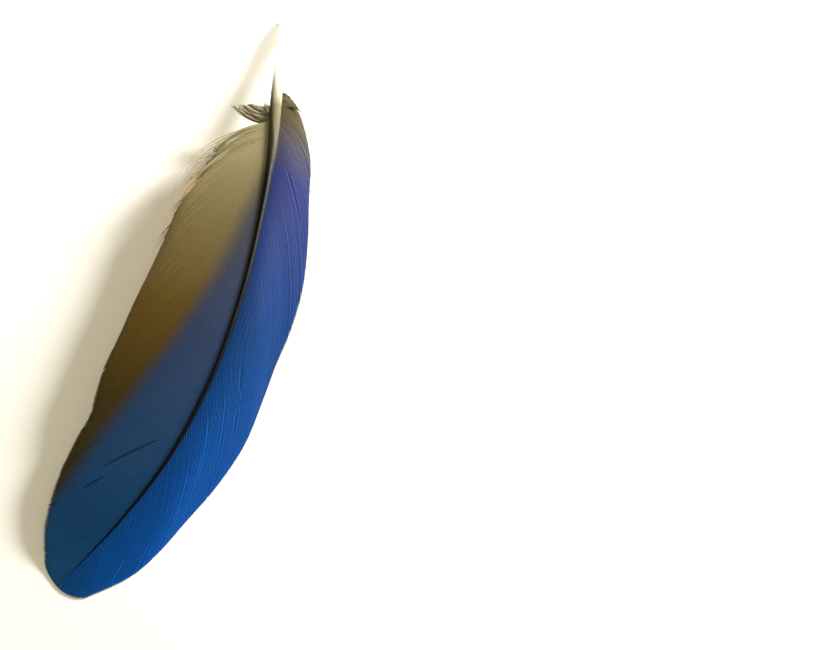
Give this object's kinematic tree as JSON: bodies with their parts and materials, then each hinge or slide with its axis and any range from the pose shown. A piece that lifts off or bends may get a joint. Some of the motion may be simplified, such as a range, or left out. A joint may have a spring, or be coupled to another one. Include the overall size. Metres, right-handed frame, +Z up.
{
  "type": "macaw feather",
  "caption": "Small wing covert feather of a blue-and-yellow macaw: bare quill, curved shaft, narrow blue leading vane and wide brown trailing vane.",
  "frame": {"origin": "centre of the bounding box in plan, on the surface that the feather lies on", "axes": "+Y from the end of the vane to the quill's tip, +X towards the narrow blue leading vane, +Z up, the way the feather's upper side faces"},
  "size_m": [0.0322, 0.1252, 0.0098],
  "materials": {
    "feather": "blue, brown and black keratin barbs with a silky sheen"
  },
  "bodies": {
    "root": {"feather": "feather"}
  },
  "joints": []
}
